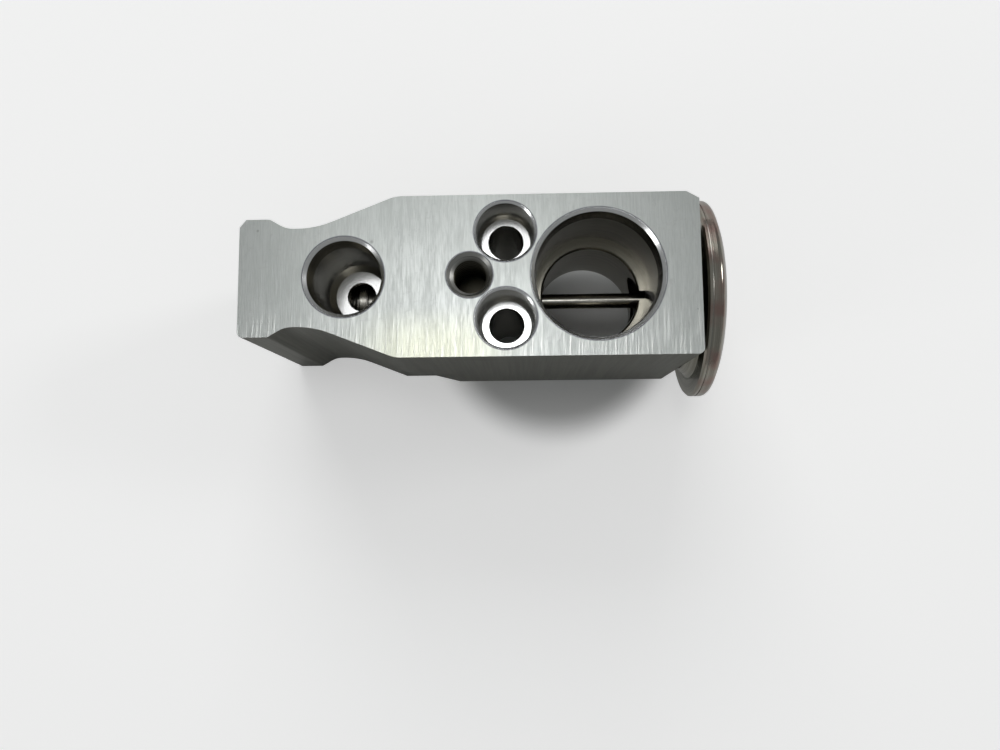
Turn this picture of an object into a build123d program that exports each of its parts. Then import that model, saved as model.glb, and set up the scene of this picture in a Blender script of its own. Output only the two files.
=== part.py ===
from build123d import *
from math import cos, pi, radians, sqrt, tan
import os

# Block-type thermostatic expansion valve of an air-conditioning circuit, in millimetres.
# +X runs along the valve axis to the power head, and +Z points out of the front face.
# The origin is where the axis of the suction passage meets the back face.
# The valve's moving parts lie on one line, the valve axis, which crosses the suction passage.

# Body: sawn from an extruded aluminium bar, then bored
body_length = 69.5
body_width = 24.7
body_thickness = 34.0
head_end = 15.3             # from the suction axis to the end that carries the power head
foot_width = 18.1
foot_length = 4.6
foot_slope = 2.57           # length over which the foot narrows to the waist
waist_width = 15.1
shoulder_from_foot = 23.7   # from the foot's end to the corner where the ramp meets the side
ramp_angle = 21.5
foot_corner_radius = 0.8
foot_edge_radius = 0.8
waist_inner_radius = 4.0
ramp_inner_radius = 14.0
shoulder_radius = 5.0
head_corner_radius = 0.9
head_bevel_length = 1.9     # bevels along two corners on the side away from the milled flat
head_bevel_width = 1.1
foot_bevel_length = 1.0
foot_bevel_width = 1.2
relief_depth = 1.15         # shallow flat milled on one side, at the back
relief_height = 11.6
relief_before = 5.2         # how far the flat reaches to either side of the shoulder
relief_after = 2.6
relief_runout = 4.6

# Suction passage, evaporator (back) to compressor (front)
suction_front_diameter = 18.6
suction_front_lead_in = 0.3
suction_front_depth = 16.0
suction_back_diameter = 17.4
suction_back_depth = 8.0
suction_ledge_width = 1.25  # the step on which the suction line's pipe end stops
suction_middle_chamfer = 0.3
rim_chamfer = 0.5
lead_in_length = 2.5        # slow cone under a front rim that eases a seal ring in
back_rim_chamfer = 0.4

# Liquid inlet at the front and outlet at the back
port_spacing = 38.3
inlet_diameter = 10.6
inlet_lead_in = 0.4
inlet_depth = 14.5
inlet_floor_diameter = 8.6
inlet_floor_cone = 0.8
inlet_feed_diameter = 4.9
outlet_offset = 27.6        # from the suction axis to the outlet's axis
outlet_diameter = 11.8
outlet_depth = 7.6
outlet_feed_diameter = 6.0

# Two screw holes that clamp the pipe flanges, and the tapped hole between them
screw_hole_offset = 13.9
screw_hole_spacing = 13.3
screw_hole_diameter = 5.6
screw_head_diameter = 8.8
screw_head_depth = 6.6
screw_floor_cone = 0.55
screw_rim_chamfer = 0.3
stud_offset = 19.3
stud_hole_diameter = 6.0    # to the bottom of the M6 thread, whose ridges are left out
stud_hole_depth = 12.0
stud_mouth_diameter = 7.0
stud_mouth_cone = 0.5

# Valve axis and what lies on it
axis_height = 13.3
chamber_diameter = 10.5
chamber_end_offset = 34.3   # from the suction axis to the wall that holds the seat
screw_thread_diameter = 12.0
screw_bore_depth = 5.0
seat_outer_diameter = 6.4
seat_length = 2.1
orifice_diameter = 3.2
orifice_relief_diameter = 4.0
ball_diameter = 4.5
rod_diameter = 2.6
rod_nose_diameter = 1.8
rod_nose_length = 3.4
seal_bore_diameter = 6.0
seal_bore_depth = 5.2       # from the suction passage's wall
rod_port_diameter = 8.0     # hole that lets suction vapour reach the diaphragm
rod_port_outer_diameter = 9.5
valve_stroke = 0.8          # travel of the rod from the closed ball to the end stop

# Power head
head_diameter = 33.6
neck_diameter = 20.0        # thread M20 x 1
neck_bore_diameter = 15.8
neck_bore_depth = 4.2
neck_end_gap = 0.3
head_gap = 1.8              # from the body's end to the flange of the lower cup
shelf_gap = 0.3             # from the body's end to the floor of the lower cup
cup_thickness = 0.8
flange_thickness = 0.75
flange_width = 3.2          # the ring on which the two cups and the diaphragm meet
dish_width = 1.7            # the sloping part of the lower cup inside that ring
rim_radius = 0.3
diaphragm_thickness = 0.15
diaphragm_wave = 0.22
diaphragm_waves = 2
rim_height = 1.55           # straight edge of the upper cup, before it rounds over
rim_round = 1.0
dome_step = 0.9
dome_inset = 2.1            # from the head's rim to the shoulder of the dome
dome_round = 1.5
dome_rise = 1.6
dome_flat_diameter = 7.0
fill_hole_diameter = 3.0
plug_diameter = 4.6
plug_height = 0.9
stop_disc_margin = 1.2      # from the disc's edge to the dish of the lower cup
stop_hub_diameter = 14.0
stop_hub_length = 1.7
stop_hub_bevel = 0.6
stop_boss_diameter = 6.0
stop_boss_length = 2.8
rod_socket_depth = 3.8

# Rubber rings, washers, cup, springs and adjusting screw
head_ring_section = 1.6
rod_ring_section = 1.67
backup_ring_length = 0.8
rod_washer_length = 0.4
clip_thickness = 0.3
clip_dish = 0.4
clip_teeth = 8
clip_slot_width = 0.7
cup_nose_diameter = 5.6
cup_flange_diameter = 8.2
cup_flange_length = 1.0
cup_pilot_diameter = 5.0
cup_pilot_length = 1.4
cup_grip = 0.5              # how far the cup's lip stays short of the ball's middle
damper_thickness = 0.25
damper_ring_diameter = 7.6
damper_leg_width = 1.6
damper_leg_length = 5.0
damper_leg_angles = (60, 180, 300)
spring_wire = 1.2
spring_middle_diameter = 6.8
spring_turns = 4.0
spring_ground = 0.3         # from the wire's middle to the ground end faces
adjuster_recess = 0.6
adjuster_thread_length = 3.2
adjuster_nose_length = 4.2
adjuster_pilot_length = 1.3
adjuster_pilot_diameter = 5.0
adjuster_groove_width = 1.8
adjuster_groove_front = 0.6
adjuster_ring_section = 1.6
hex_key_size = 5.0
hex_key_depth = 3.0

# Clearances
running_clearance = 0.03    # between a piece that slides and its bore
thread_clearance = 0.04     # between the adjusting screw and its bore
seat_clearance = 0.02       # between the closed ball and the edge of its seat
loose_clearance = 0.1       # round washers that only lie in a bore
clip_clearance = 0.3        # between the clip's inner edge and the rod
stop_clearance = 0.05       # between the stop disc and the lower cup when the valve is fully open

# Diameters that follow from others
suction_middle_diameter = suction_front_diameter - 2 * suction_ledge_width
flange_inner_diameter = head_diameter - 2 * flange_width
shelf_diameter = flange_inner_diameter - 2 * dish_width
dome_shoulder_diameter = head_diameter - 2 * dome_inset
stop_disc_diameter = shelf_diameter - 2 * stop_disc_margin

# Places along X that several pieces share
foot_end_x = head_end - body_length
inlet_x = -port_spacing
outlet_x = -outlet_offset
chamber_end_x = -chamber_end_offset
screw_bore_end_x = foot_end_x + screw_bore_depth
passage_wall_x = suction_middle_diameter / 2
seal_bore_end_x = -passage_wall_x - seal_bore_depth
neck_bore_end_x = head_end - neck_bore_depth
shelf_x = head_end + shelf_gap
flange_x = head_end + head_gap
diaphragm_x = flange_x + flange_thickness
upper_flange_x = diaphragm_x + diaphragm_thickness
cup_floor_x = shelf_x + cup_thickness
stop_rim_x = cup_floor_x + valve_stroke + stop_clearance
stop_hub_x = stop_rim_x - stop_hub_length
stop_boss_x = stop_hub_x - stop_boss_length
rod_end_x = stop_boss_x + rod_socket_depth
rim_top_x = upper_flange_x + rim_height
dome_x = rim_top_x + dome_step
ball_reach = sqrt((ball_diameter / 2) ** 2 - (orifice_diameter / 2) ** 2)
ball_x = chamber_end_x - ball_reach - seat_clearance
rod_tip_x = ball_x + ball_diameter / 2
cup_lip_x = ball_x - cup_grip
cup_bottom_x = ball_x - ball_diameter / 2 - cup_flange_length
cup_flange_x = cup_bottom_x + cup_flange_length
adjuster_face_x = foot_end_x + adjuster_recess
adjuster_shoulder_x = adjuster_face_x + adjuster_thread_length
adjuster_nose_x = adjuster_shoulder_x + adjuster_nose_length


def on_axis(shape):
    """Lift a shape built round the X axis up to the valve axis."""
    return Pos(0, 0, axis_height) * shape


def turned(*profile):
    """Turn a closed profile of (place along X, radius) points about the valve axis."""
    face = make_face(Polyline(*profile, close=True))
    return on_axis(revolve(face, Axis.X))


def plug(x_from, x_to, diameter_from, diameter_to=None):
    """A round bar or cone on the valve axis, from one place along X to another."""
    end_diameter = diameter_from if diameter_to is None else diameter_to
    radius_from, radius_to = diameter_from / 2, end_diameter / 2
    return turned((x_from, 0), (x_from, radius_from), (x_to, radius_to), (x_to, 0))


def ring(x_from, x_to, outer_diameter, inner_diameter):
    """A plain washer or sleeve on the valve axis."""
    outer, inner = outer_diameter / 2, inner_diameter / 2
    return turned((x_from, inner), (x_from, outer), (x_to, outer), (x_to, inner))


def rubber_ring(x_middle, inner_diameter, section):
    """A round-section seal ring on the valve axis."""
    torus = Torus((inner_diameter + section) / 2, section / 2)
    return on_axis(Pos(x_middle, 0, 0) * Rot(0, 90, 0) * torus)


def hole(x, y, z_from, z_to, diameter_from, diameter_to=None):
    """A drilled or conical hole parallel to Z, from one height to another above it."""
    end_diameter = diameter_from if diameter_to is None else diameter_to
    low = (Align.CENTER, Align.CENTER, Align.MIN)
    if end_diameter == diameter_from:
        return Pos(x, y, z_from) * Cylinder(diameter_from / 2, z_to - z_from, align=low)
    return Pos(x, y, z_from) * Cone(diameter_from / 2, end_diameter / 2, z_to - z_from, align=low)


def body_outline():
    """Half of the bar's section and its mirror image: foot, waist, ramp and full width."""
    foot, waist, full = foot_width / 2, waist_width / 2, body_width / 2
    foot_side_x = foot_end_x + foot_length
    shoulder_x = foot_end_x + shoulder_from_foot
    ramp_x = shoulder_x - (full - waist) / tan(radians(ramp_angle))
    corners = [(foot_end_x, foot, foot_corner_radius),
               (foot_side_x, foot, foot_edge_radius),
               (foot_side_x + foot_slope, waist, waist_inner_radius),
               (ramp_x, waist, ramp_inner_radius),
               (shoulder_x, full, shoulder_radius),
               (head_end, full, head_corner_radius)]
    points = [(foot_end_x, 0)] + [(x, y) for x, y, _ in corners] + [(head_end, 0)]
    half = FilletPolyline(*points, radius=[radius for _, _, radius in corners])
    return make_face(half + mirror(half, about=Plane.XZ))


def side_relief():
    """The shallow flat milled into one side, with a sloping run-out to the full width."""
    side = -body_width / 2
    shoulder_x = foot_end_x + shoulder_from_foot
    start, end = shoulder_x - relief_before, shoulder_x + relief_after
    face = make_face(Polyline((start, side), (start, side + relief_depth),
                              (end, side + relief_depth), (end + relief_runout, side), close=True))
    return extrude(face, relief_height)


def corner_bevels():
    """The bevels along the foot's and the head end's corners opposite the milled flat."""
    foot, full = foot_width / 2, body_width / 2
    at_foot = Polyline((foot_end_x, foot), (foot_end_x + foot_bevel_length, foot),
                       (foot_end_x, foot - foot_bevel_width), close=True)
    at_head = Polyline((head_end, full), (head_end - head_bevel_length, full),
                       (head_end, full - head_bevel_width), close=True)
    return extrude(make_face(at_foot), body_thickness) + extrude(make_face(at_head), body_thickness)


def port_mouth(x, diameter, lead_in):
    """The rim chamfer of a port in the front face and the slow cone that leads down to its bore."""
    rim = diameter + 2 * lead_in
    rim_z = body_thickness - rim_chamfer
    return [hole(x, 0, rim_z, body_thickness, rim, rim + 2 * rim_chamfer),
            hole(x, 0, rim_z - lead_in_length, rim_z, diameter, rim)]


def suction_cuts():
    """The suction passage: a wide bore at each face and a narrower middle between them."""
    front, middle, back = suction_front_diameter, suction_middle_diameter, suction_back_diameter
    ledge = body_thickness - suction_front_depth
    lead = suction_middle_chamfer
    return [hole(0, 0, 0, body_thickness, middle),
            hole(0, 0, ledge, body_thickness, front),
            hole(0, 0, ledge - lead, ledge, middle, middle + 2 * lead),
            hole(0, 0, 0, suction_back_depth, back),
            hole(0, 0, 0, back_rim_chamfer, back + 2 * back_rim_chamfer, back),
            *port_mouth(0, front, suction_front_lead_in)]


def liquid_cuts():
    """The inlet bore with its feed into the chamber, and the outlet bore fed by the orifice."""
    top = body_thickness
    floor = top - inlet_depth
    outlet_chamfered = outlet_diameter + 2 * back_rim_chamfer
    return [hole(inlet_x, 0, floor + inlet_floor_cone, top, inlet_diameter),
            hole(inlet_x, 0, floor, floor + inlet_floor_cone, inlet_floor_diameter, inlet_diameter),
            hole(inlet_x, 0, axis_height, floor, inlet_feed_diameter),
            hole(outlet_x, 0, 0, outlet_depth, outlet_diameter),
            hole(outlet_x, 0, 0, back_rim_chamfer, outlet_chamfered, outlet_diameter),
            hole(outlet_x, 0, 0, axis_height + rod_diameter, outlet_feed_diameter),
            *port_mouth(inlet_x, inlet_diameter, inlet_lead_in)]


def fastening_cuts():
    """Two through holes with sunk seats for screw heads, and the tapped blind hole."""
    top = body_thickness
    seat = top - screw_head_depth
    floor_diameter = screw_head_diameter - 2 * screw_floor_cone
    rim_diameter = screw_head_diameter + 2 * screw_rim_chamfer
    cuts = []
    for y in (-screw_hole_spacing / 2, screw_hole_spacing / 2):
        cuts += [hole(-screw_hole_offset, y, 0, top, screw_hole_diameter),
                 hole(-screw_hole_offset, y, seat + screw_floor_cone, top, screw_head_diameter),
                 hole(-screw_hole_offset, y, seat, seat + screw_floor_cone, floor_diameter,
                      screw_head_diameter),
                 hole(-screw_hole_offset, y, top - screw_rim_chamfer, top, screw_head_diameter,
                      rim_diameter)]
    return cuts + [hole(-stud_offset, 0, top - stud_hole_depth, top, stud_hole_diameter),
                   hole(-stud_offset, 0, top - stud_mouth_cone, top, stud_hole_diameter,
                        stud_mouth_diameter)]


def axis_cuts():
    """Everything bored along the valve axis, from the foot's end to the head's end."""
    seat_end_x = chamber_end_x + seat_length
    guide_diameter = rod_diameter + 2 * running_clearance
    port_cone_x = passage_wall_x - (rod_port_outer_diameter - rod_port_diameter) / 2
    ring_recess_x = shelf_x - head_ring_section
    ring_recess_diameter = neck_diameter + 2 * head_ring_section
    return [plug(foot_end_x, screw_bore_end_x, screw_thread_diameter),
            plug(foot_end_x, chamber_end_x, chamber_diameter),
            plug(chamber_end_x, seat_end_x, seat_outer_diameter),
            plug(chamber_end_x, outlet_x, orifice_relief_diameter),
            plug(outlet_x, 0, guide_diameter),
            plug(seal_bore_end_x, 0, seal_bore_diameter),
            plug(0, neck_bore_end_x, rod_port_diameter),
            plug(port_cone_x, passage_wall_x, rod_port_diameter, rod_port_outer_diameter),
            plug(passage_wall_x, neck_bore_end_x, rod_port_outer_diameter),
            plug(neck_bore_end_x, head_end, neck_diameter),
            plug(ring_recess_x, head_end, ring_recess_diameter)]


def valve_body():
    """The aluminium block with every bore cut into it."""
    block = extrude(body_outline(), body_thickness)
    for cut in suction_cuts() + liquid_cuts() + fastening_cuts() + axis_cuts():
        block -= cut
    return block - side_relief() - corner_bevels()


def lower_cup():
    """Turned and pressed steel cup whose threaded neck screws into the body."""
    neck, bore = neck_diameter / 2, neck_bore_diameter / 2
    start = neck_bore_end_x + neck_end_gap
    outer, inner = head_diameter / 2, flange_inner_diameter / 2
    shelf = shelf_diameter / 2
    return turned((start, bore), (start, neck - rim_radius), (start + rim_radius, neck),
                  (shelf_x, neck), (shelf_x, shelf), (flange_x, inner),
                  (flange_x, outer - rim_radius), (flange_x + rim_radius, outer),
                  (diaphragm_x, outer), (diaphragm_x, inner), (cup_floor_x, shelf),
                  (cup_floor_x, bore))


def upper_cup():
    """Pressed steel cover, welded to the lower cup round the rim, with a filling hole."""
    outer, inner = head_diameter / 2, flange_inner_diameter / 2
    shoulder, flat = dome_shoulder_diameter / 2, dome_flat_diameter / 2
    hole_radius = fill_hole_diameter / 2
    wall = cup_thickness
    low = upper_flange_x
    crown = dome_x + dome_rise
    outside = FilletPolyline((low, outer), (rim_top_x, outer), (dome_x, shoulder), (crown, flat),
                             (crown, hole_radius), radius=[rim_round, dome_round, wall])
    inside = FilletPolyline((crown - wall, hole_radius), (crown - wall, flat),
                            (dome_x - wall, shoulder - wall), (low, inner), (low, outer),
                            radius=[wall, wall, 0])
    lip = Line((crown, hole_radius), (crown - wall, hole_radius))
    return on_axis(revolve(make_face(outside + lip + inside), Axis.X))


def diaphragm():
    """Thin steel sheet clamped at its rim, flat in the middle and waved between."""
    outer, inner = head_diameter / 2 - rim_radius, flange_inner_diameter / 2
    flat = stop_disc_diameter / 2 - diaphragm_waves
    thick = diaphragm_thickness
    steps = 4 * diaphragm_waves
    spread = [flat + (inner - flat) * step / steps for step in range(steps + 1)]
    rise = [diaphragm_wave * (1 - cos(2 * pi * diaphragm_waves * step / steps)) / 2
            for step in range(steps + 1)]
    low = [(diaphragm_x + lift, radius) for lift, radius in zip(rise, spread)]
    high = [(x + thick, radius) for x, radius in low]
    lower = Spline(*low, tangents=[(0, 1), (0, 1)])
    upper = Spline(*high, tangents=[(0, 1), (0, 1)])
    start, end = diaphragm_x, diaphragm_x + thick
    edges = [Line((start, 0), low[0]), lower, Line(low[-1], (start, outer)),
             Line((start, outer), (end, outer)), Line((end, outer), high[-1]), upper,
             Line(high[0], (end, 0)), Line((end, 0), (start, 0))]
    return on_axis(revolve(make_face(edges), Axis.X))


def stop_disc():
    """Aluminium disc under the diaphragm, with a boss that holds the end of the rod."""
    rim, hub, boss = stop_disc_diameter / 2, stop_hub_diameter / 2, stop_boss_diameter / 2
    rod = rod_diameter / 2
    return turned((diaphragm_x, 0), (diaphragm_x, rim), (stop_rim_x, rim),
                  (stop_rim_x, hub + stop_hub_bevel), (stop_rim_x - stop_hub_bevel, hub),
                  (stop_hub_x, hub), (stop_hub_x, boss), (stop_boss_x, boss), (stop_boss_x, rod),
                  (rod_end_x, rod), (rod_end_x, 0))


def fill_plug():
    """Domed steel plug welded over the filling hole."""
    crown = dome_x + dome_rise
    base, top = crown - cup_thickness, crown + plug_height
    stem, cap = fill_hole_diameter / 2, plug_diameter / 2
    edges = [Line((base, 0), (base, stem)), Line((base, stem), (crown, stem)),
             Line((crown, stem), (crown, cap)), TangentArc((top, 0), (crown, cap), tangent=(0, 1)),
             Line((top, 0), (base, 0))]
    return on_axis(revolve(make_face(edges), Axis.X))


def head_o_ring():
    """Rubber ring in the body's recess, held there by the floor of the lower cup."""
    middle_x = shelf_x - head_ring_section / 2
    return rubber_ring(middle_x, neck_diameter, head_ring_section)


def operating_rod():
    """Steel rod from the stop disc, across the suction passage, to the ball."""
    body, nose = rod_diameter / 2, rod_nose_diameter / 2
    shoulder_x = rod_tip_x + rod_nose_length
    taper = body - nose
    return turned((rod_tip_x, 0), (rod_tip_x, nose), (shoulder_x, nose),
                  (shoulder_x + taper, body), (rod_end_x, body), (rod_end_x, 0))


def rod_seal_ring():
    """Rubber ring that keeps the liquid side and the suction side apart round the rod."""
    bore = rod_diameter + 2 * running_clearance
    return rubber_ring(seal_bore_end_x + rod_ring_section / 2, bore, rod_ring_section)


def rod_backup_ring():
    """Slippery plastic ring that keeps the rubber ring from creeping along the rod."""
    start = seal_bore_end_x + rod_ring_section
    return ring(start, start + backup_ring_length, seal_bore_diameter,
                rod_diameter + 2 * running_clearance)


def rod_washer():
    """Flat steel washer between the plastic ring and the clip."""
    start = seal_bore_end_x + rod_ring_section + backup_ring_length
    return ring(start, start + rod_washer_length, seal_bore_diameter - 2 * loose_clearance,
                rod_diameter + 2 * loose_clearance)


def seal_clip():
    """Dished steel clip whose teeth grip the bore and hold the seal in."""
    start = seal_bore_end_x + rod_ring_section + backup_ring_length + rod_washer_length
    outer = seal_bore_diameter / 2
    inner = rod_diameter / 2 + clip_clearance
    clip = turned((start, inner), (start + clip_thickness, inner),
                  (start + clip_dish + clip_thickness, outer), (start + clip_dish, outer))
    slot = Box(2 * (clip_dish + clip_thickness), clip_slot_width, outer - inner)
    for tooth in range(clip_teeth):
        clip -= on_axis(Rot(360 * tooth / clip_teeth, 0, 0)
                        * Pos(start + clip_dish, 0, outer) * slot)
    return clip


def orifice_seat():
    """Hardened steel ring pressed into the chamber's end wall; its bore meters the liquid."""
    return ring(chamber_end_x, chamber_end_x + seat_length, seat_outer_diameter, orifice_diameter)


def valve_ball():
    """Steel ball that opens and closes the orifice."""
    return on_axis(Pos(ball_x, 0, 0) * Sphere(ball_diameter / 2))


def ball_cup():
    """Steel carrier of the ball, with a flange and a pilot for the spring."""
    nose, flange, pilot = cup_nose_diameter / 2, cup_flange_diameter / 2, cup_pilot_diameter / 2
    end_x = cup_bottom_x - cup_pilot_length
    blank = turned((end_x, 0), (end_x, pilot), (cup_bottom_x, pilot), (cup_bottom_x, flange),
                   (cup_flange_x, flange), (cup_flange_x, nose), (cup_lip_x, nose), (cup_lip_x, 0))
    return blank - valve_ball()


def damper_spring():
    """Thin spring ring on the cup whose three legs rub on the chamber's wall."""
    start, thick = cup_flange_x, damper_thickness
    reach = chamber_diameter / 2 - running_clearance
    plate = ring(start, start + thick, damper_ring_diameter, cup_nose_diameter)
    tube = ring(start + thick - damper_leg_length, start + thick, 2 * reach, 2 * (reach - thick))
    arm = ring(start, start + thick, 2 * reach, cup_nose_diameter)
    upward = (Align.CENTER, Align.CENTER, Align.MIN)
    leg_box = on_axis(Pos(start, 0, cup_nose_diameter / 2)
                      * Box(2 * damper_leg_length, damper_leg_width, reach, align=upward))
    leg = (tube + arm) & leg_box
    axis = Axis((0, 0, axis_height), (1, 0, 0))
    for turn in damper_leg_angles:
        plate += leg.rotate(axis, turn)
    return plate


def superheat_spring():
    """Steel coil spring with ground ends, between the adjusting screw and the cup."""
    length = cup_bottom_x - adjuster_nose_x
    travel = length - 2 * spring_ground
    coil = Helix(travel / spring_turns, travel, spring_middle_diameter / 2,
                 center=(adjuster_nose_x + spring_ground, 0, 0), direction=(1, 0, 0))
    section = Plane(origin=coil @ 0, z_dir=coil % 0) * Circle(spring_wire / 2)
    wire = on_axis(sweep(section, path=coil, is_frenet=True))
    return wire & plug(adjuster_nose_x, cup_bottom_x, chamber_diameter)


def adjusting_screw():
    """Threaded plug with a hex socket, a ring groove and a pilot for the spring."""
    thread = screw_thread_diameter / 2 - thread_clearance
    nose = chamber_diameter / 2 - thread_clearance
    pilot = adjuster_pilot_diameter / 2
    groove_floor = chamber_diameter / 2 - running_clearance - adjuster_ring_section
    groove_end = adjuster_nose_x - adjuster_groove_front
    groove_start = groove_end - adjuster_groove_width
    pilot_end = adjuster_nose_x + adjuster_pilot_length
    blank = turned((adjuster_face_x, 0), (adjuster_face_x, thread - rim_chamfer),
                   (adjuster_face_x + rim_chamfer, thread), (adjuster_shoulder_x, thread),
                   (adjuster_shoulder_x, nose), (groove_start, nose),
                   (groove_start, groove_floor), (groove_end, groove_floor), (groove_end, nose),
                   (adjuster_nose_x, nose), (adjuster_nose_x, pilot), (pilot_end, pilot),
                   (pilot_end, 0))
    mouth = Plane(origin=(adjuster_face_x, 0, axis_height), x_dir=(0, 1, 0), z_dir=(1, 0, 0))
    socket = mouth * RegularPolygon(hex_key_size / 2, 6, major_radius=False)
    return blank - extrude(socket, hex_key_depth)


def screw_o_ring():
    """Rubber ring in the adjusting screw's groove."""
    inner = chamber_diameter - 2 * running_clearance - 2 * adjuster_ring_section
    middle_x = adjuster_nose_x - adjuster_groove_front - adjuster_groove_width / 2
    return rubber_ring(middle_x, inner, adjuster_ring_section)


pieces = [valve_body, lower_cup, upper_cup, diaphragm, stop_disc, fill_plug, head_o_ring,
          operating_rod, rod_seal_ring, rod_backup_ring, rod_washer, seal_clip, orifice_seat,
          valve_ball, ball_cup, damper_spring, superheat_spring, adjusting_screw, screw_o_ring]

os.makedirs("parts", exist_ok=True)
for piece in pieces:
    export_step(piece(), f"parts/{piece.__name__}.step")
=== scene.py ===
import math

import bpy
import numpy as np
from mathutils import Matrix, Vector


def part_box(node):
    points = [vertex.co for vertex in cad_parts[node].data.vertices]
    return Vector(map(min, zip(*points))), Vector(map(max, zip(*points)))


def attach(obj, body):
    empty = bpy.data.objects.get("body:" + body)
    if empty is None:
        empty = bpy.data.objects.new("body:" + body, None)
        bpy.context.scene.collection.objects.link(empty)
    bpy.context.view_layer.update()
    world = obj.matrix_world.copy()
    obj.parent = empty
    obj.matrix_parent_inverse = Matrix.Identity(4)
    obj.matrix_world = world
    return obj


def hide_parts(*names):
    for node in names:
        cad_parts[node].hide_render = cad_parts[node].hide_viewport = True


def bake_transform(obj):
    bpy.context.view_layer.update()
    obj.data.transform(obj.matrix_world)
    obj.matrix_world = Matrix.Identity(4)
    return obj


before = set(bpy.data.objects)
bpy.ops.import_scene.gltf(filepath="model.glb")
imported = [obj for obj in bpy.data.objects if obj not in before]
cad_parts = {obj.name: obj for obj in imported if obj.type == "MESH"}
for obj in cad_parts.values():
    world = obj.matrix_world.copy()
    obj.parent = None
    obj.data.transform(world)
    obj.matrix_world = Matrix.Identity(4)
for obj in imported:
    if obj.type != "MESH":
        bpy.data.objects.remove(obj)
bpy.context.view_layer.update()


# ---------------------------------------------------------------------------------------------
# Body. One block sawn from an extruded aluminium bar, face-milled front and back, then bored.
# The mill leaves fine lines across the two faces, the extrusion leaves a duller skin with faint
# lines along its sides, and every bore shows the turned rings of its drill or reamer. The sides
# and bore walls are also darkened as painted shade, and what faces up in the bores is lightened
# as painted light.

def add_node(tree, kind, inputs=None, **settings):
    """Put one node in a tree, with its settings and with its inputs set or linked."""
    made = tree.nodes.new(kind)
    for name, value in settings.items():
        setattr(made, name, value)
    for name, value in (inputs or {}).items():
        if isinstance(value, bpy.types.NodeSocket):
            tree.links.new(value, made.inputs[name])
        else:
            made.inputs[name].default_value = value
    return made


def calculate(tree, operation, *values, clamp=False):
    """One Math node on numbers or sockets; gives its result."""
    made = add_node(tree, "ShaderNodeMath", dict(enumerate(values)), operation=operation)
    made.use_clamp = clamp
    return made.outputs[0]


def ramp_between(tree, value, low, high, start=0.0, end=1.0):
    """A smooth step of a value from low to high, giving start to end."""
    made = add_node(tree, "ShaderNodeMapRange",
                    {"Value": value, "From Min": low, "From Max": high, "To Min": start,
                     "To Max": end}, interpolation_type="SMOOTHSTEP")
    return made.outputs["Result"]


def blend_colours(tree, share, first, second, mode="MIX"):
    """Mix two colours by a share from 0 to 1."""
    made = add_node(tree, "ShaderNodeMix", {0: share, 6: first, 7: second}, data_type="RGBA",
                    blend_type=mode)
    return made.outputs[2]


def new_group(name, inputs, outputs):
    """An empty shader node group with named sockets; gives the tree, its inputs and outputs."""
    tree = bpy.data.node_groups.new(name, "ShaderNodeTree")
    for socket, (kind, value) in inputs.items():
        made = tree.interface.new_socket(socket, in_out="INPUT", socket_type=kind)
        if value is not None:
            made.default_value = value
    for socket, kind in outputs.items():
        tree.interface.new_socket(socket, in_out="OUTPUT", socket_type=kind)
    return tree, tree.nodes.new("NodeGroupInput").outputs, tree.nodes.new("NodeGroupOutput").inputs


def place_group(tree, group, inputs):
    """One use of a node group in a tree; gives its outputs."""
    made = tree.nodes.new("ShaderNodeGroup")
    made.node_tree = group
    for name, value in inputs.items():
        if isinstance(value, bpy.types.NodeSocket):
            tree.links.new(value, made.inputs[name])
        else:
            made.inputs[name].default_value = value
    return made.outputs


def straight_lines_group():
    """Fine and broad noise on a point squeezed so that it only changes across the lines."""
    tree, start, end = new_group(
        "straight lines", {"Vector": ("NodeSocketVector", None), "Stretch": ("NodeSocketVector", None)},
        {"Shade": "NodeSocketFloat", "Height": "NodeSocketFloat"})
    squeezed = add_node(tree, "ShaderNodeVectorMath", {0: start["Vector"], 1: start["Stretch"]},
                        operation="MULTIPLY").outputs[0]
    fine = add_node(tree, "ShaderNodeTexNoise", {"Vector": squeezed, "Scale": 1.0, "Detail": 3.0,
                                                 "Roughness": 0.6}).outputs[0]
    broad = add_node(tree, "ShaderNodeTexNoise", {"Vector": squeezed, "Scale": 0.24, "Detail": 2.0,
                                                  "Roughness": 0.5}).outputs[0]
    height = calculate(tree, "ADD", calculate(tree, "MULTIPLY", fine, 0.65),
                       calculate(tree, "MULTIPLY", broad, 0.35))
    tree.links.new(ramp_between(tree, height, 0.36, 0.64), end["Shade"])
    tree.links.new(height, end["Height"])
    return tree


def turned_rings_group():
    """Noise of one number, the way along the tool's path, so that it changes in rings only."""
    tree, start, end = new_group(
        "turned rings", {"Way": ("NodeSocketFloat", 0.0), "Pitch": ("NodeSocketFloat", 0.1)},
        {"Shade": "NodeSocketFloat", "Height": "NodeSocketFloat"})
    turns = calculate(tree, "DIVIDE", start["Way"], start["Pitch"])
    rings = add_node(tree, "ShaderNodeTexNoise", {"W": turns, "Scale": 1.0, "Detail": 2.0,
                                                  "Roughness": 0.55}, noise_dimensions="1D").outputs[0]
    bands = add_node(tree, "ShaderNodeTexNoise", {"W": turns, "Scale": 0.17, "Detail": 1.0},
                     noise_dimensions="1D").outputs[0]
    height = calculate(tree, "ADD", calculate(tree, "MULTIPLY", rings, 0.6),
                       calculate(tree, "MULTIPLY", bands, 0.4))
    tree.links.new(ramp_between(tree, height, 0.36, 0.64), end["Shade"])
    tree.links.new(height, end["Height"])
    return tree


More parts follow.
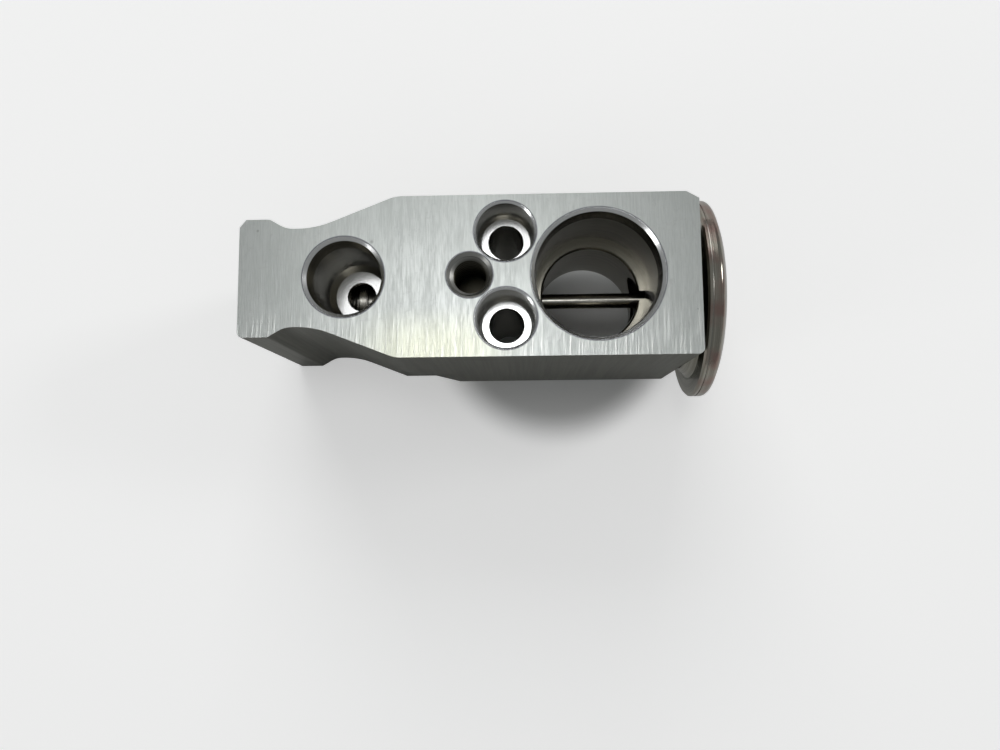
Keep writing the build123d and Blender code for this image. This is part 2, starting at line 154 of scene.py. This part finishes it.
def specks_group():
    """Small round dots, one in some of the cells of a Voronoi pattern, sized by the cell."""
    tree, start, end = new_group(
        "specks", {"Vector": ("NodeSocketVector", None), "Cells": ("NodeSocketFloat", 1.0),
                   "Share": ("NodeSocketFloat", 0.2), "Size": ("NodeSocketFloat", 0.1)},
        {"Mask": "NodeSocketFloat"})
    cells = add_node(tree, "ShaderNodeTexVoronoi", {"Vector": start["Vector"],
                                                    "Scale": start["Cells"]})
    chance = add_node(tree, "ShaderNodeSeparateColor", {0: cells.outputs["Color"]}).outputs
    chosen = calculate(tree, "LESS_THAN", chance[0], start["Share"])
    reach = calculate(tree, "MULTIPLY", start["Size"], calculate(tree, "ADD", chance[1], 0.35))
    near = calculate(tree, "SUBTRACT", 1.0, calculate(tree, "DIVIDE", cells.outputs["Distance"], reach),
                     clamp=True)
    tree.links.new(calculate(tree, "MULTIPLY", chosen, near), end["Mask"])
    return tree


def bore_place_group():
    """Whether a point lies in an upright bore, and how near it is to the bore's rim on the face."""
    tree, start, end = new_group(
        "bore place", {"Vector": ("NodeSocketVector", None), "Centre": ("NodeSocketVector", None),
                       "Rim": ("NodeSocketFloat", 1.0), "Low": ("NodeSocketFloat", 0.0),
                       "High": ("NodeSocketFloat", 1.0)},
        {"Inside": "NodeSocketFloat", "Edge": "NodeSocketFloat"})
    away = add_node(tree, "ShaderNodeVectorMath", {0: start["Vector"], 1: start["Centre"]},
                    operation="SUBTRACT").outputs[0]
    part = add_node(tree, "ShaderNodeSeparateXYZ", {0: away}).outputs
    radius = calculate(tree, "SQRT", calculate(tree, "ADD", calculate(tree, "MULTIPLY", part[0], part[0]),
                                               calculate(tree, "MULTIPLY", part[1], part[1])))
    height = add_node(tree, "ShaderNodeSeparateXYZ", {0: start["Vector"]}).outputs[2]
    past = calculate(tree, "SUBTRACT", radius, start["Rim"])
    within = calculate(tree, "MULTIPLY", calculate(tree, "LESS_THAN", past, 0.01),
                       calculate(tree, "MULTIPLY", calculate(tree, "GREATER_THAN", height, start["Low"]),
                                 calculate(tree, "LESS_THAN", height, start["High"])))
    tree.links.new(within, end["Inside"])
    tree.links.new(ramp_between(tree, calculate(tree, "ABSOLUTE", past), 0.05, 0.26, 1.0, 0.0),
                   end["Edge"])
    return tree


straight_lines = straight_lines_group()
turned_rings = turned_rings_group()
specks = specks_group()
bore_place = bore_place_group()

# Each bore: its name, a point on its axis, its radius at the rim, and the two heights that it
# lies between, all in millimetres.
front_z = 34.0
bores = [("suction line", (0, 0, 0), 10.1, 17.9, 34.1), ("suction middle", (0, 0, 0), 8.5, 7.9, 18.2),
         ("suction back", (0, 0, 0), 9.1, -0.1, 8.1), ("liquid inlet", (-38.3, 0, 0), 6.2, 13.0, 34.1),
         ("liquid outlet", (-27.6, 0, 0), 6.3, -0.1, 16.5), ("tapped hole", (-19.3, 0, 0), 3.5, 21.0, 34.1),
         ("screw seat left", (-13.9, -6.65, 0), 4.7, 27.3, 34.1),
         ("screw seat right", (-13.9, 6.65, 0), 4.7, 27.3, 34.1),
         ("screw hole left", (-13.9, -6.65, 0), 2.85, -0.1, 27.5),
         ("screw hole right", (-13.9, 6.65, 0), 2.85, -0.1, 27.5)]


def block_material():
    """Aluminium that knows its milled faces, extruded sides, bore walls and turned floors. It
    works on the place in millimetres."""
    material = bpy.data.materials.new("block_aluminium")
    material.use_nodes = True
    tree = material.node_tree
    shader = tree.nodes["Principled BSDF"]
    shader.inputs["Metallic"].default_value = 1.0
    place = add_node(tree, "ShaderNodeTexCoord").outputs
    point = add_node(tree, "ShaderNodeVectorMath", {0: place["Object"], "Scale": 1000.0},
                     operation="SCALE").outputs[0]
    x, y, z = add_node(tree, "ShaderNodeSeparateXYZ", {0: point}).outputs
    upward = calculate(tree, "ABSOLUTE", add_node(tree, "ShaderNodeSeparateXYZ",
                                                  {0: place["Normal"]}).outputs[2])
    level = ramp_between(tree, upward, 0.9, 0.97)
    inside, edge, tapped = 0.0, 0.0, 0.0
    for name, centre, rim, low, high in bores:
        found = place_group(tree, bore_place, {"Vector": point, "Centre": centre, "Rim": rim,
                                               "Low": low, "High": high})
        inside = calculate(tree, "MAXIMUM", inside, found["Inside"])
        if name == "tapped hole":
            tapped = found["Inside"]
        if high > front_z:
            edge = calculate(tree, "MAXIMUM", edge, found["Edge"])
    face = calculate(tree, "MULTIPLY", level, calculate(tree, "SUBTRACT", 1.0, inside))

    # milled faces: fine lines across the block, and near its lower edge the faintly bent marks that
    # the cutter's far side leaves, blended to near-white there as a painted highlight, yellowed in one patch,
    # with small grey grit
    milled = place_group(tree, straight_lines, {"Vector": point, "Stretch": (5.2, 0.42, 5.2)})
    cloudy = add_node(tree, "ShaderNodeTexNoise", {"Vector": point, "Scale": 0.09, "Detail": 3.0}).outputs[0]
    arc = calculate(tree, "DIVIDE", calculate(tree, "MULTIPLY", y, y), 420.0)
    feed = add_node(tree, "ShaderNodeCombineXYZ",
                    {0: calculate(tree, "ADD", x, arc), 1: calculate(tree, "MULTIPLY", y, 0.05)}).outputs[0]
    marks = add_node(tree, "ShaderNodeTexNoise", {"Vector": feed, "Scale": 2.1, "Detail": 4.0,
                                                  "Roughness": 0.6}).outputs[0]
    edge_marks_and_highlight = ramp_between(tree, y, -3.5, -11.0, 0.12, 1.0)
    broad = calculate(tree, "MULTIPLY", ramp_between(tree, marks, 0.46, 0.70), edge_marks_and_highlight)
    tone = calculate(tree, "ADD", calculate(tree, "MULTIPLY", milled["Shade"], 0.30),
                     calculate(tree, "MULTIPLY", cloudy, 0.30))
    face_colour = blend_colours(tree, tone, (0.52, 0.55, 0.53, 1), (0.80, 0.83, 0.81, 1))
    patch = calculate(tree, "MULTIPLY", ramp_between(tree, x, -40.0, -27.0),
                      ramp_between(tree, x, -10.0, -22.0))
    yellow = calculate(tree, "MULTIPLY", ramp_between(tree, y, -4.0, -11.0), patch)
    face_colour = blend_colours(tree, calculate(tree, "MULTIPLY", yellow, 0.75), face_colour,
                                (0.84, 0.86, 0.68, 1))
    # painted highlight: the cutter's marks turn near-white towards the lower edge
    face_colour = blend_colours(tree, calculate(tree, "MULTIPLY", broad, 0.6), face_colour,
                                (0.96, 0.97, 0.94, 1))
    grit = add_node(tree, "ShaderNodeTexNoise", {"Vector": point, "Scale": 1.1, "Detail": 4.0,
                                                 "Roughness": 0.7}).outputs[0]
    smudges = calculate(tree, "MULTIPLY", ramp_between(tree, grit, 0.56, 0.74), 0.28)
    face_colour = blend_colours(tree, smudges, face_colour, (0.42, 0.43, 0.43, 1))
    rim_line = calculate(tree, "MULTIPLY", edge, 0.9)
    face_colour = blend_colours(tree, rim_line, face_colour, (0.075, 0.075, 0.10, 1))

    # extruded sides: dull skin with faint lines along the bar, darkened further as painted shade
    drawn = place_group(tree, straight_lines, {"Vector": point, "Stretch": (2.4, 2.4, 0.05)})
    side_skin_and_shade = blend_colours(tree, drawn["Shade"], (0.10, 0.10, 0.082, 1), (0.145, 0.145, 0.12, 1))

    # bores: walls with the tool's rings, darkened as painted shade; floors and chamfers that face up
    # blended to near-white as painted light; a ledge in the suction line dulled as painted shade; and
    # painted shade that darkens the tapped hole below its mouth
    way = calculate(tree, "ADD", z, calculate(tree, "MULTIPLY", x, 0.02))
    rings = place_group(tree, turned_rings, {"Way": way, "Pitch": 0.16})
    # painted shade on the bore walls, and painted light on what faces up in the bores
    shaded_wall_colour = blend_colours(tree, rings["Shade"], (0.18, 0.17, 0.14, 1), (0.26, 0.245, 0.20, 1))
    sloped = ramp_between(tree, upward, 0.25, 0.6)
    bore_colour = blend_colours(tree, sloped, shaded_wall_colour, (0.84, 0.85, 0.85, 1))
    # painted shade: the upward ledge in the suction line is dulled
    stepped = calculate(tree, "MULTIPLY", ramp_between(tree, x, -12.0, -11.0),
                        calculate(tree, "LESS_THAN", z, 18.5))
    ledge_shade = calculate(tree, "MULTIPLY", sloped, stepped)
    bore_colour = blend_colours(tree, ledge_shade, bore_colour, (0.40, 0.385, 0.33, 1))
    # painted shade: the tapped hole is darkened below its mouth
    tapped_hole_shade = blend_colours(tree, ramp_between(tree, z, 32.6, 33.6), (0.055, 0.052, 0.04, 1),
                         (0.42, 0.42, 0.40, 1))
    bore_colour = blend_colours(tree, tapped, bore_colour, tapped_hole_shade)

    # the sides take the darker colour by the way they face, partly duller skin and partly painted shade
    colour = blend_colours(tree, level, side_skin_and_shade, face_colour)
    colour = blend_colours(tree, inside, colour, bore_colour)
    # small dark specks on the milled faces
    dots = place_group(tree, specks, {"Vector": point, "Cells": 0.35, "Share": 0.09, "Size": 0.13})
    colour = blend_colours(tree, calculate(tree, "MULTIPLY", dots["Mask"], face), colour,
                           (0.10, 0.10, 0.10, 1))
    tree.links.new(colour, shader.inputs["Base Color"])

    rough_face = calculate(tree, "SUBTRACT", ramp_between(tree, milled["Shade"], 0.0, 1.0, 0.39, 0.33),
                           calculate(tree, "MULTIPLY", broad, 0.06))
    reamed = calculate(tree, "SUBTRACT", inside, calculate(tree, "MULTIPLY", tapped, 0.8))
    rough_rest = calculate(tree, "SUBTRACT", 0.42, calculate(tree, "MULTIPLY", reamed, 0.20))
    rough = add_node(tree, "ShaderNodeMix", {0: face, 2: rough_rest, 3: rough_face}).outputs[0]
    tree.links.new(rough, shader.inputs["Roughness"])

    face_height = calculate(tree, "ADD", milled["Height"], calculate(tree, "MULTIPLY", broad, 0.9))
    drawn_height = calculate(tree, "MULTIPLY", drawn["Height"], 0.5)
    bored_height = calculate(tree, "MULTIPLY", rings["Height"], 0.6)
    rest_height = add_node(tree, "ShaderNodeMix", {0: inside, 2: drawn_height, 3: bored_height}).outputs[0]
    height = add_node(tree, "ShaderNodeMix", {0: face, 2: rest_height, 3: face_height}).outputs[0]
    bump = add_node(tree, "ShaderNodeBump", {"Height": height, "Strength": 0.5, "Distance": 0.00003})
    tree.links.new(bump.outputs[0], shader.inputs["Normal"])
    return material


aluminium = block_material()
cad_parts["valve_body"].data.materials.clear()
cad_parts["valve_body"].data.materials.append(aluminium)


# ---------------------------------------------------------------------------------------------
# Thread of the flange screw's hole. It is tapped in the block itself, coarse M6, so the ridges
# are the same aluminium; they run out in the mouth's cone, and below just above the drilled end.

thread_pitch = 0.0010
thread_low, thread_high = 0.0226, 0.0336
thread_steps = 96                          # a turn
thread_fade = 0.5                          # turns over which the ridge grows and dies out
thread_sunk = 0.00004                      # how deep the ridge's foot goes into the wall
half_foot, half_crest = 0.43, 0.07         # half widths of the ridge, in pitches


def thread_surface(centre_x, wall_radius, crest_radius):
    """A ridge that winds up a hole. At each step the angle grows by a fixed share of a turn and
    the height by the same share of the pitch; there four corners are set, the foot's two just
    behind the hole's radius and the crest's two on its own, half a width below and above that
    height. The ridge grows out of the wall over the first half turn and sinks back over the
    last."""
    count = int(round((thread_high - thread_low) / thread_pitch * thread_steps)) + 1
    turn = np.arange(count) / thread_steps
    angle = 2.0 * math.pi * turn
    height = thread_low + thread_pitch * turn
    grown = np.clip(np.minimum(turn, turn[-1] - turn) / thread_fade, 0.0, 1.0)
    crest = wall_radius - (wall_radius - crest_radius) * grown
    root = wall_radius + thread_sunk
    radius = np.stack([np.full(count, root), crest, crest, np.full(count, root)], axis=1)
    rise = np.array([-half_foot, -half_crest, half_crest, half_foot]) * thread_pitch
    points = np.stack([centre_x + radius * np.cos(angle)[:, None],
                       radius * np.sin(angle)[:, None],
                       height[:, None] + np.broadcast_to(rise, (count, 4))], axis=2).reshape(-1, 3)
    corner = np.arange(4)
    first = 4 * np.arange(count - 1)[:, None] + corner
    second = 4 * np.arange(count - 1)[:, None] + (corner + 1) % 4
    quads = np.stack([first, second, second + 4, first + 4], axis=2).reshape(-1, 4)
    ends = np.array([[3, 2, 1, 0], [4 * count - 4, 4 * count - 3, 4 * count - 2, 4 * count - 1]])
    mesh = bpy.data.meshes.new("flange_thread")
    mesh.from_pydata(points.tolist(), [], np.concatenate([quads, ends]).tolist())
    mesh.shade_smooth()
    mesh.set_sharp_from_angle(angle=math.radians(30))
    return mesh


flange_thread = bpy.data.objects.new("flange_thread", thread_surface(
    centre_x=-0.0193, wall_radius=0.0030, crest_radius=0.00246))
bpy.context.scene.collection.objects.link(flange_thread)
flange_thread.data.materials.append(aluminium)
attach(flange_thread, "housing")


# ---------------------------------------------------------------------------------------------
# Orifice seat, ball and ball cup. The seat is a hardened ring pressed into the chamber's wall,
# the ball is a hardened bearing ball, and the cup that carries it is turned from stainless bar.

axis_height = 0.0133


def axis_place_group():
    """How far along the valve axis a point lies, how far from it, and its angle round it."""
    tree, start, end = new_group(
        "axis place", {"Vector": ("NodeSocketVector", None)},
        {"Along": "NodeSocketFloat", "Radius": "NodeSocketFloat", "Angle": "NodeSocketFloat"})
    centred = add_node(tree, "ShaderNodeMapping", {"Vector": start["Vector"],
                                                   "Location": (0, 0, -1000 * axis_height),
                                                   "Scale": (1000, 1000, 1000)}).outputs[0]
    x, y, z = add_node(tree, "ShaderNodeSeparateXYZ", {0: centred}).outputs
    tree.links.new(x, end["Along"])
    tree.links.new(calculate(tree, "SQRT", calculate(
        tree, "ADD", calculate(tree, "MULTIPLY", y, y), calculate(tree, "MULTIPLY", z, z))), end["Radius"])
    tree.links.new(calculate(tree, "ARCTAN2", y, z), end["Angle"])
    return tree


axis_place = axis_place_group()


def turned_metal(name, dark, light, roughness, pitch, depth, tint=None, tint_from=0.0, tint_to=1.0):
    """Metal turned about the valve axis: rings in its shade, gloss and height, with an optional
    heat tint that grows with the distance from the axis, in millimetres."""
    material = bpy.data.materials.new(name)
    material.use_nodes = True
    tree = material.node_tree
    shader = tree.nodes["Principled BSDF"]
    shader.inputs["Metallic"].default_value = 1.0
    where = add_node(tree, "ShaderNodeTexCoord").outputs["Object"]
    place = place_group(tree, axis_place, {"Vector": where})
    way = calculate(tree, "ADD", place["Along"], calculate(tree, "MULTIPLY", place["Radius"], 1.3))
    rings = place_group(tree, turned_rings, {"Way": way, "Pitch": pitch})
    stains = add_node(tree, "ShaderNodeTexNoise", {"Vector": where, "Scale": 260.0, "Detail": 4.0}).outputs[0]
    share = calculate(tree, "ADD", calculate(tree, "MULTIPLY", rings["Shade"], 0.6),
                      calculate(tree, "MULTIPLY", stains, 0.4))
    colour = blend_colours(tree, share, dark, light)
    if tint:
        amount = calculate(tree, "MULTIPLY", ramp_between(tree, place["Radius"], tint_from, tint_to),
                           ramp_between(tree, stains, 0.35, 0.7))
        colour = blend_colours(tree, amount, colour, tint)
    tree.links.new(colour, shader.inputs["Base Color"])
    tree.links.new(ramp_between(tree, share, 0.2, 0.8, roughness + 0.06, roughness - 0.04),
                   shader.inputs["Roughness"])
    bump = add_node(tree, "ShaderNodeBump", {"Height": rings["Height"], "Strength": depth,
                                             "Distance": 0.00002})
    tree.links.new(bump.outputs[0], shader.inputs["Normal"])
    return material


def finish_nodes(material, *names):
    """Give these CAD nodes a material in place of the plain one they came with."""
    for name in names:
        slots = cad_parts[name].data.materials
        slots.clear()
        slots.append(material)


finish_nodes(turned_metal("hard_steel", (0.44, 0.44, 0.45, 1), (0.60, 0.60, 0.60, 1), 0.14, 0.05, 0.1),
             "orifice_seat", "valve_ball")
finish_nodes(turned_metal("cup_steel", (0.34, 0.33, 0.30, 1), (0.52, 0.51, 0.47, 1), 0.26, 0.09, 0.35),
             "ball_cup")


# ---------------------------------------------------------------------------------------------
# Superheat spring and damper ring. The spring is wound from drawn wire and its ends are ground
# flat; the ring is stamped from thin spring strip, and its three legs rub on the chamber wall.

def drawn_steel(name, dark, light, roughness):
    """Drawn or rolled spring steel: cloudy scale with fine short scratches."""
    material = bpy.data.materials.new(name)
    material.use_nodes = True
    tree = material.node_tree
    shader = tree.nodes["Principled BSDF"]
    shader.inputs["Metallic"].default_value = 1.0
    where = add_node(tree, "ShaderNodeTexCoord").outputs["Object"]
    cloud = add_node(tree, "ShaderNodeTexNoise", {"Vector": where, "Scale": 700.0, "Detail": 5.0,
                                                  "Distortion": 0.4}).outputs[0]
    fine = add_node(tree, "ShaderNodeTexNoise", {"Vector": where, "Scale": 5200.0, "Detail": 2.0}).outputs[0]
    share = ramp_between(tree, calculate(tree, "ADD", calculate(tree, "MULTIPLY", cloud, 0.7),
                                         calculate(tree, "MULTIPLY", fine, 0.3)), 0.35, 0.65)
    tree.links.new(blend_colours(tree, share, dark, light), shader.inputs["Base Color"])
    tree.links.new(ramp_between(tree, share, 0.0, 1.0, roughness + 0.08, roughness - 0.05),
                   shader.inputs["Roughness"])
    bump = add_node(tree, "ShaderNodeBump", {"Height": fine, "Strength": 0.25, "Distance": 0.00001})
    tree.links.new(bump.outputs[0], shader.inputs["Normal"])
    return material


spring_steel = drawn_steel("spring_steel", (0.26, 0.25, 0.23, 1), (0.46, 0.45, 0.42, 1), 0.28)
finish_nodes(spring_steel, "superheat_spring", "damper_spring", "seal_clip")

spring_foot, spring_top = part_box("superheat_spring")[0].x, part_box("superheat_spring")[1].x
spring_turns = 4.0
spring_radius, wire_radius = 0.0034, 0.0006
wire_steps, wire_sides = 72, 20            # points along a turn and round the wire
ground = 0.0003                            # from the wire's middle to the flat of a ground end


def coil_surface(name, first_turn, last_turn):
    """A round wire wound about the valve axis. Its middle goes round on the coil's radius and
    along by one pitch a turn; round the middle, a ring of points lies at the wire's radius,
    square to the way the wire runs. Points beyond a ground end are set back onto it, and flat
    caps close the wire."""
    pitch = (spring_top - spring_foot - 2 * ground) / spring_turns
    turn = np.linspace(first_turn, last_turn, int(round((last_turn - first_turn) * wire_steps)) + 1)
    angle = 2.0 * math.pi * turn
    none = np.zeros_like(angle)
    outward = np.stack([none, np.sin(angle), np.cos(angle)], axis=1)
    rise = pitch / (2.0 * math.pi * spring_radius)
    forward = np.stack([none + rise, np.cos(angle), -np.sin(angle)], axis=1)
    forward /= np.linalg.norm(forward, axis=1)[:, None]
    across = np.cross(forward, outward)
    core = np.stack([spring_foot + ground + pitch * turn, none, none + axis_height], axis=1)
    core += spring_radius * outward
    round_wire = 2.0 * math.pi * np.arange(wire_sides) / wire_sides
    points = core[:, None] + wire_radius * (np.cos(round_wire)[None, :, None] * outward[:, None]
                                            + np.sin(round_wire)[None, :, None] * across[:, None])
    points[..., 0] = np.clip(points[..., 0], spring_foot, spring_top)
    corner = np.arange(wire_sides)
    start = wire_sides * np.arange(len(turn) - 1)[:, None]
    here, following = start + corner, start + (corner + 1) % wire_sides
    quads = np.stack([here, following, following + wire_sides, here + wire_sides], axis=2).reshape(-1, 4)
    last = wire_sides * (len(turn) - 1)
    mesh = bpy.data.meshes.new(name)
    mesh.from_pydata(points.reshape(-1, 3).tolist(), [], quads.tolist()
                     + [list(range(wire_sides - 1, -1, -1)), list(range(last, last + wire_sides))])
    mesh.shade_smooth()
    mesh.set_sharp_from_angle(angle=math.radians(40))
    made = bpy.data.objects.new(name, mesh)
    bpy.context.scene.collection.objects.link(made)
    mesh.materials.append(spring_steel)
    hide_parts("superheat_spring")
    return made


# The spring is made in two halves, split at its middle turn, one for each of its ends.
half_way = spring_turns / 2
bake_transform(coil_surface("spring_screw_half", 0.0, half_way))
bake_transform(coil_surface("spring_cup_half", half_way, spring_turns))


# ---------------------------------------------------------------------------------------------
# Adjusting screw. A threaded steel plug with a hex socket, screwed in from the foot's end; its
# rubber ring sits in a groove behind the thread.

finish_nodes(turned_metal("screw_steel", (0.36, 0.36, 0.34, 1), (0.52, 0.52, 0.49, 1), 0.30, 0.10, 0.4),
             "adjusting_screw")


def moulded_rubber():
    """Black oil-proof rubber: slightly shiny skin, grey bloom in patches, fine grain."""
    material = bpy.data.materials.new("seal_rubber")
    material.use_nodes = True
    tree = material.node_tree
    shader = tree.nodes["Principled BSDF"]
    shader.inputs["Specular IOR Level"].default_value = 0.4
    where = add_node(tree, "ShaderNodeTexCoord").outputs["Object"]
    bloom = add_node(tree, "ShaderNodeTexNoise", {"Vector": where, "Scale": 600.0, "Detail": 4.0}).outputs[0]
    grain = add_node(tree, "ShaderNodeTexNoise", {"Vector": where, "Scale": 9000.0, "Detail": 2.0}).outputs[0]
    share = ramp_between(tree, bloom, 0.45, 0.75)
    tree.links.new(blend_colours(tree, share, (0.018, 0.018, 0.019, 1), (0.055, 0.055, 0.056, 1)),
                   shader.inputs["Base Color"])
    tree.links.new(ramp_between(tree, bloom, 0.3, 0.7, 0.42, 0.6), shader.inputs["Roughness"])
    bump = add_node(tree, "ShaderNodeBump", {"Height": grain, "Strength": 0.3, "Distance": 0.00001})
    tree.links.new(bump.outputs[0], shader.inputs["Normal"])
    return material


finish_nodes(moulded_rubber(), "screw_o_ring", "rod_seal_ring", "head_o_ring")


# ---------------------------------------------------------------------------------------------
# Operating rod with its seal. The rod is ground stainless steel; a slippery plastic ring and a
# punched washer back the rubber ring up, under the toothed clip.

finish_nodes(turned_metal("rod_steel", (0.40, 0.39, 0.35, 1), (0.60, 0.58, 0.53, 1), 0.20, 0.06, 0.3),
             "operating_rod")
finish_nodes(turned_metal("washer_steel", (0.42, 0.42, 0.40, 1), (0.58, 0.58, 0.56, 1), 0.32, 0.2, 0.2),
             "rod_washer")


def slippery_plastic():
    """White waxy plastic with faint turned rings and small grey marks."""
    material = bpy.data.materials.new("slip_plastic")
    material.use_nodes = True
    tree = material.node_tree
    shader = tree.nodes["Principled BSDF"]
    where = add_node(tree, "ShaderNodeTexCoord").outputs["Object"]
    place = place_group(tree, axis_place, {"Vector": where})
    rings = place_group(tree, turned_rings, {"Way": calculate(
        tree, "ADD", place["Along"], place["Radius"]), "Pitch": 0.12})
    marks = place_group(tree, specks, {"Vector": where, "Cells": 900.0, "Share": 0.1, "Size": 0.25})
    colour = blend_colours(tree, rings["Shade"], (0.78, 0.78, 0.73, 1), (0.86, 0.86, 0.82, 1))
    colour = blend_colours(tree, calculate(tree, "MULTIPLY", marks["Mask"], 0.6), colour,
                           (0.35, 0.35, 0.33, 1))
    tree.links.new(colour, shader.inputs["Base Color"])
    tree.links.new(ramp_between(tree, rings["Shade"], 0.0, 1.0, 0.5, 0.38), shader.inputs["Roughness"])
    bump = add_node(tree, "ShaderNodeBump", {"Height": rings["Height"], "Strength": 0.2,
                                             "Distance": 0.00001})
    tree.links.new(bump.outputs[0], shader.inputs["Normal"])
    return material


finish_nodes(slippery_plastic(), "rod_backup_ring")


# ---------------------------------------------------------------------------------------------
# Power head. Two pressed stainless cups clamp a thin waved diaphragm and are welded round the
# rim; the lower one's threaded neck screws into the body. A turned aluminium disc under the
# diaphragm pushes the rod, and a domed plug closes the filling hole.

finish_nodes(turned_metal("head_steel", (0.24, 0.23, 0.19, 1), (0.52, 0.505, 0.44, 1), 0.17, 0.22, 0.3,
                          tint=(0.34, 0.24, 0.21, 1), tint_from=15.6, tint_to=16.8),
             "lower_cup", "upper_cup")
finish_nodes(turned_metal("thin_steel", (0.46, 0.46, 0.44, 1), (0.62, 0.62, 0.60, 1), 0.24, 0.3, 0.15),
             "diaphragm")
finish_nodes(turned_metal("turned_aluminium", (0.55, 0.56, 0.55, 1), (0.76, 0.77, 0.76, 1), 0.30, 0.14, 0.5),
             "stop_disc")
finish_nodes(turned_metal("weld_steel", (0.30, 0.29, 0.27, 1), (0.50, 0.49, 0.46, 1), 0.30, 0.25, 0.5,
                          tint=(0.34, 0.24, 0.16, 1), tint_from=1.6, tint_to=2.3),
             "fill_plug")


# ---------------------------------------------------------------------------------------------
# Stage. A pale floor that carries the back edge of the foot and the rim of the head, so that it
# leans a little under the upright model. One soft lamp stands overhead, a broad one on the far
# side, and two small weak ones low at the left and right.

foot_x, foot_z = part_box("valve_body")[0].x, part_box("valve_body")[0].z
rim_x, rim_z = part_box("lower_cup")[1].x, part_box("upper_cup")[0].z
floor_slope = (rim_z - foot_z) / (rim_x - foot_x)
floor_reach = 3.0
floor_gap = 0.00005                        # below the two edges that rest on it
floor_mesh = bpy.data.meshes.new("floor")
floor_corners = [(sx * floor_reach, sy * floor_reach,
                  foot_z + floor_slope * (sx * floor_reach - foot_x) - floor_gap)
                 for sx, sy in ((-1, -1), (1, -1), (1, 1), (-1, 1))]
floor_mesh.from_pydata(floor_corners, [], [(0, 1, 2, 3)])
floor = bpy.data.objects.new("floor", floor_mesh)
bpy.context.scene.collection.objects.link(floor)
floor_material = bpy.data.materials.new("floor_white")
floor_material.use_nodes = True
floor_shader = floor_material.node_tree.nodes["Principled BSDF"]
floor_shader.inputs["Base Color"].default_value = (0.86, 0.86, 0.855, 1)
floor_shader.inputs["Roughness"].default_value = 0.9
floor_shader.inputs["Emission Color"].default_value = (1.0, 1.0, 1.0, 1)
floor_tree = floor_material.node_tree
seen = add_node(floor_tree, "ShaderNodeLightPath").outputs["Is Camera Ray"]
floor_point = add_node(floor_tree, "ShaderNodeTexCoord").outputs["Object"]
from_port = add_node(floor_tree, "ShaderNodeVectorMath", {0: floor_point, 1: (-0.005, 0.0, 0.0)},
                     operation="DISTANCE").outputs["Value"]
# the camera-only lift is left off near the ports, so that the floor seen through them stays dark;
# the darker unlifted disc round them, beside the block, is painted shade
clear = ramp_between(floor_tree, from_port, 0.018, 0.026, 0.0, 0.38)
floor_tree.links.new(calculate(floor_tree, "MULTIPLY", seen, clear),
                     floor_shader.inputs["Emission Strength"])
floor_mesh.materials.append(floor_material)

world = bpy.data.worlds.new("studio")
world.use_nodes = True
world.node_tree.nodes["Background"].inputs["Color"].default_value = (0.235, 0.24, 0.24, 1)
world.node_tree.nodes["Background"].inputs["Strength"].default_value = 1.0
bpy.context.scene.world = world


def soft_lamp(name, place, target, size, power):
    """A square soft lamp at a place, turned to a target."""
    data = bpy.data.lights.new(name, "AREA")
    data.shape = "SQUARE"
    data.size = size
    data.energy = power
    lamp = bpy.data.objects.new(name, data)
    bpy.context.scene.collection.objects.link(lamp)
    lamp.location = place
    lamp.rotation_euler = (Vector(target) - Vector(place)).to_track_quat("-Z", "Y").to_euler()
    return lamp


middle = (-0.017, 0.0, 0.02)
soft_lamp("overhead", (-0.080, 0.125, 1.02), middle, 0.26, 0.85)
soft_lamp("far side", (-0.15, 1.05, 0.60), middle, 0.80, 5.5)
soft_lamp("low left", (-0.95, -0.45, 0.30), middle, 0.30, 1.0)
soft_lamp("right side", (0.85, 0.30, 0.55), middle, 0.22, 1.2)

camera_data = bpy.data.cameras.new("camera")
camera_data.sensor_width = 36.0
camera_data.lens = 28.905
camera_data.clip_start = 0.005
camera_data.clip_end = 20.0
camera = bpy.data.objects.new("camera", camera_data)
bpy.context.scene.collection.objects.link(camera)
camera.location = (-0.0117157, -0.0286576, 0.1514312)
camera.rotation_euler = (math.radians(6.5442), math.radians(1.59715), math.radians(-0.53906))
bpy.context.scene.camera = camera
bpy.context.scene.view_settings.view_transform = "Standard"
